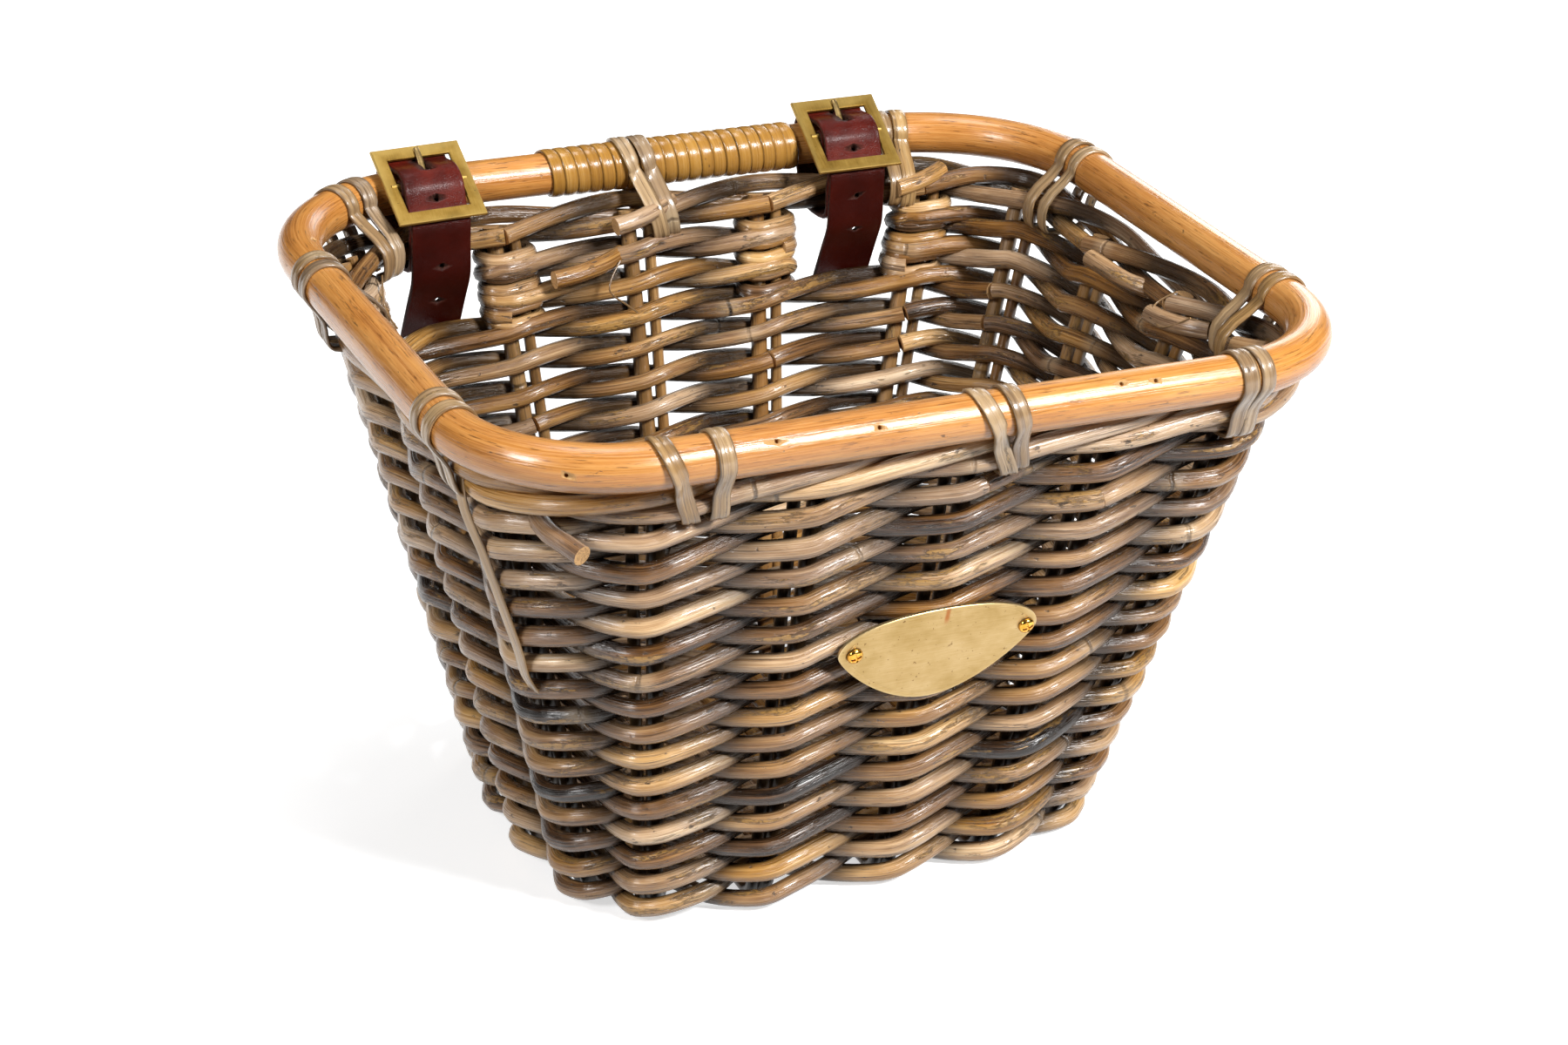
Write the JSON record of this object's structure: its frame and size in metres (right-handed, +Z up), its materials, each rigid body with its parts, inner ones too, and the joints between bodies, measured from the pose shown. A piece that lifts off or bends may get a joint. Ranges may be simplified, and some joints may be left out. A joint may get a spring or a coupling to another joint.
{
  "type": "rectangular basket",
  "caption": "Rectangular basket of twined rods on paired stakes, with a bent cane rim tied on by peel lashings, a plain plate and two buckled leather straps.",
  "frame": {"origin": "on the floor under the middle of the basket, at the underside of the middle base stick", "axes": "+Z up, -Y towards the front with the plate, +Y towards the back with the straps, +X to the right seen from the front"},
  "size_m": [0.3592, 0.3076, 0.2391],
  "materials": {
    "rod": "satin",
    "stake": "satin",
    "rim": "gloss",
    "peel": "satin",
    "lashing": "satin",
    "leather": "satin",
    "brass": "satin"
  },
  "bodies": {
    "basket": {"cane_rim": "rim", "rim_winding": "peel", "lashing_front_middle": "lashing", "lashing_front_right": "lashing", "lashing_right_front": "lashing", "lashing_right_back": "lashing", "lashing_back_right": "lashing", "lashing_back_middle": "lashing", "lashing_back_left": "lashing", "lashing_left_back": "lashing", "lashing_left_front": "lashing", "lashing_front_left": "lashing", "border_rod_1": "rod", "border_rod_2": "rod", "border_rod_3": "rod", "stake_pair_01": "stake", "stake_pair_02": "stake", "stake_pair_03": "stake", "stake_pair_04": "stake", "stake_pair_05": "stake", "stake_pair_06": "stake", "stake_pair_07": "stake", "stake_pair_08": "stake", "stake_pair_09": "stake", "stake_pair_10": "stake", "stake_pair_11": "stake", "stake_pair_12": "stake", "stake_pair_13": "stake", "stake_pair_14": "stake", "stake_pair_15": "stake", "stake_pair_16": "stake", "stake_pair_17": "stake", "weaver_a_1": "rod", "weaver_a_2": "rod", "weaver_a_3": "rod", "weaver_a_4": "rod", "weaver_b_1": "rod", "weaver_b_2": "rod", "weaver_b_3": "rod", "weaver_b_4": "rod", "panel_row_lower": "rod", "panel_row_upper": "rod", "back_row_lower": "rod", "back_row_upper": "rod", "base_mat": "rod", "base_stick_1": "stake", "base_stick_2": "stake", "base_stick_3": "stake", "name_plate": "brass", "plate_screw_1": "brass", "plate_screw_2": "brass"},
    "right_strap": {"strap_right": "leather"},
    "right_buckle": {"buckle_frame_right": "brass"},
    "right_prong": {"buckle_prong_right": "brass"},
    "left_strap": {"strap_left": "leather"},
    "left_buckle": {"buckle_frame_left": "brass"},
    "left_prong": {"buckle_prong_left": "brass"}
  },
  "joints": [
    {"name": "right_strap_slide", "type": "slide", "parent": "basket", "child": "right_strap", "axis": [1, 0, 0], "range_m": [-0.0035, 0.0015]},
    {"name": "right_buckle_rock", "type": "hinge", "parent": "right_strap", "child": "right_buckle", "pos_m": [0.0825, 0.1283, 0.2282], "axis": [1, 0, 0], "range_deg": [-2.5, 2.5]},
    {"name": "right_prong_lift", "type": "hinge", "parent": "right_buckle", "child": "right_prong", "pos_m": [0.0825, 0.1283, 0.2282], "axis": [1, 0, 0], "range_deg": [0, 10]},
    {"name": "left_strap_slide", "type": "slide", "parent": "basket", "child": "left_strap", "axis": [0.9981, 0.061, 0], "range_m": [-0.003, 0.002]},
    {"name": "left_buckle_rock", "type": "hinge", "parent": "left_strap", "child": "left_buckle", "pos_m": [-0.10216, 0.12793, 0.2282], "axis": [0.9981, 0.061, 0], "range_deg": [-2.5, 2.5]},
    {"name": "left_prong_lift", "type": "hinge", "parent": "left_buckle", "child": "left_prong", "pos_m": [-0.10216, 0.12793, 0.2282], "axis": [0.9981, 0.061, 0], "range_deg": [0, 10]}
  ]
}
